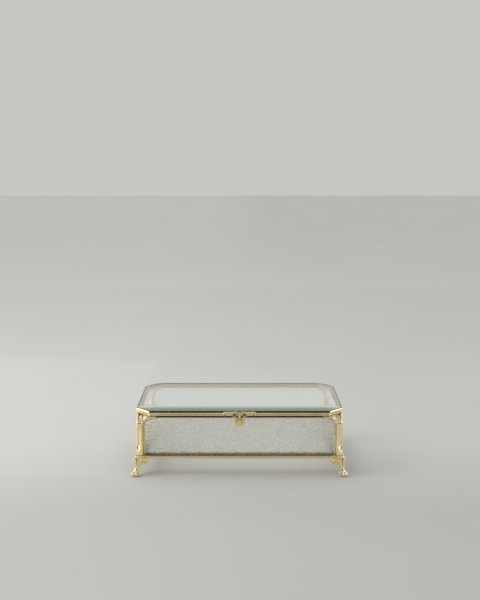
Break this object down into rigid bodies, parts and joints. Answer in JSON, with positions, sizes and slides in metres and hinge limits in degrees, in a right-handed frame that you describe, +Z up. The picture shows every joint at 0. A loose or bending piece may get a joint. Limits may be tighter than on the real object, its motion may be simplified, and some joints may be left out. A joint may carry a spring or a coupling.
{
  "type": "glass casket box",
  "caption": "Rectangular glass keepsake casket with a brass frame, fluted corner posts, clipped corners, cast feet and a hinged bevelled glass lid with a drop pull.",
  "frame": {"origin": "on the table, under the middle of the box, between the four feet", "axes": "+Z up, the front with the pull faces -Y, +X to the right seen from the front"},
  "size_m": [0.2314, 0.1374, 0.0732],
  "materials": {
    "brass": "polished pale gold brass",
    "brass_inner": "satin brass, darker inside",
    "pebbled_glass": "pebbled, translucent, faint green",
    "clear_glass": "clear float glass, polished, faint green at its edges"
  },
  "bodies": {
    "case": {"front_left_post": "brass", "front_right_post": "brass", "back_left_post": "brass", "back_right_post": "brass", "front_base_rail": "brass", "back_base_rail": "brass", "left_base_rail": "brass", "right_base_rail": "brass", "top_rim": "brass", "front_pane": "pebbled_glass", "back_pane": "pebbled_glass", "left_pane": "pebbled_glass", "right_pane": "pebbled_glass", "front_left_angle": "brass_inner", "front_right_angle": "brass_inner", "back_left_angle": "brass_inner", "back_right_angle": "brass_inner", "front_glazing_strip": "brass_inner", "back_glazing_strip": "brass_inner", "left_glazing_strip": "brass_inner", "right_glazing_strip": "brass_inner", "base_glass": "clear_glass", "front_left_foot": "brass", "front_right_foot": "brass", "back_left_foot": "brass", "back_right_foot": "brass", "foot_studs": "brass_inner", "left_hinge_case_knuckles": "brass", "left_hinge_pin": "brass_inner", "right_hinge_case_knuckles": "brass", "right_hinge_pin": "brass_inner"},
    "lid": {"left_hinge_lid_knuckle": "brass", "right_hinge_lid_knuckle": "brass", "lid_frame": "brass", "lid_glass": "clear_glass", "pull_scroll": "brass", "pull_pin": "brass_inner"},
    "pull": {"drop_pull": "brass"}
  },
  "joints": [
    {"name": "lid_hinge", "type": "hinge", "parent": "case", "child": "lid", "pos_m": [0, 0.0651, 0.06775], "axis": [-1, 0, 0], "range_deg": [0, 100]},
    {"name": "pull_swing", "type": "hinge", "parent": "lid", "child": "pull", "pos_m": [0, -0.0654, 0.0688], "axis": [-1, 0, 0], "range_deg": [0, 90]}
  ]
}
